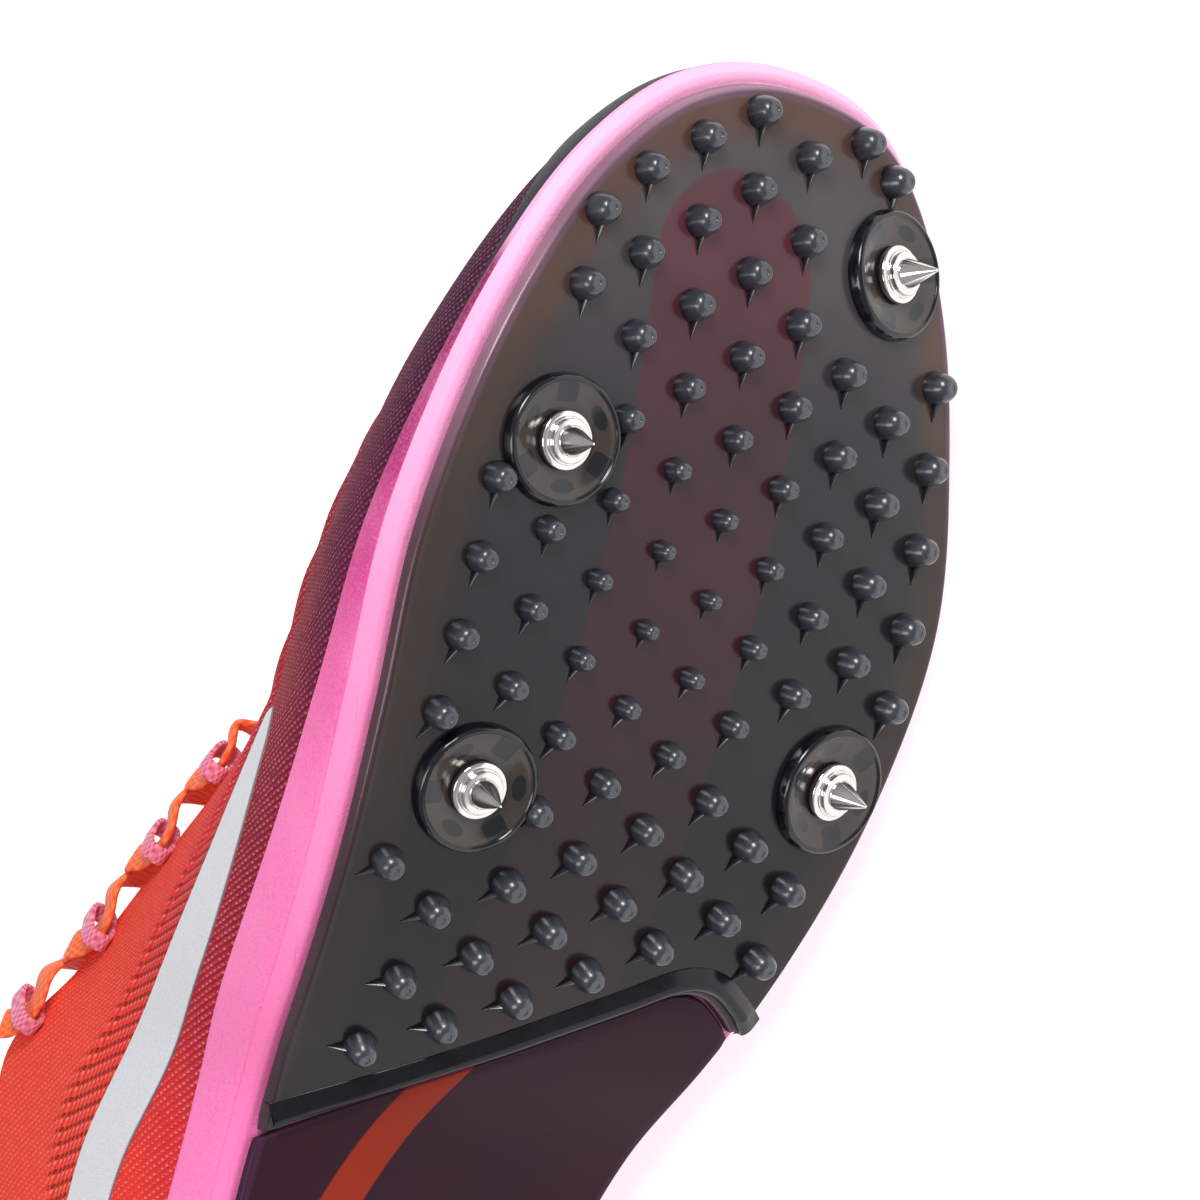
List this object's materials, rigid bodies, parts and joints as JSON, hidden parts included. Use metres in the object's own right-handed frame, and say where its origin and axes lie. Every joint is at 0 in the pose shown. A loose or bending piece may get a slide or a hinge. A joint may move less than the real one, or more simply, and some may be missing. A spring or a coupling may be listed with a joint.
{
  "type": "track spike shoe",
  "caption": "Right track running shoe with a knitted upper, foam midsole and a glossy forefoot plate with metal spikes, lying on its side.",
  "frame": {"origin": "centre of the bounding box on the floor", "axes": "+X from heel to toe, the sole faces -Y and the lateral side is up; the shoe lies on its medial side"},
  "size_m": [0.2778, 0.1132, 0.0961],
  "materials": {
    "forefoot_plate": "gloss, smoky and slightly see-through",
    "spike": "polished steel",
    "rear_outsole": "satin",
    "midsole": "moulded foam, satin",
    "insole": "brushed",
    "upper": "fine knitted mesh",
    "tongue": "thin padded mesh",
    "lace_loop": "webbing",
    "laces": "flat woven"
  },
  "bodies": {
    "root": {"forefoot_plate": "forefoot_plate", "insole": "insole", "lace_loop_lateral_1": "lace_loop", "lace_loop_lateral_2": "lace_loop", "lace_loop_lateral_3": "lace_loop", "lace_loop_lateral_4": "lace_loop", "lace_loop_medial_1": "lace_loop", "lace_loop_medial_2": "lace_loop", "lace_loop_medial_3": "lace_loop", "lace_loop_medial_4": "lace_loop", "laces": "laces", "midsole": "midsole", "rear_outsole": "rear_outsole", "spike_lateral_front": "spike", "spike_lateral_rear": "spike", "spike_medial_front": "spike", "spike_medial_rear": "spike", "tongue": "tongue", "upper": "upper"}
  },
  "joints": []
}
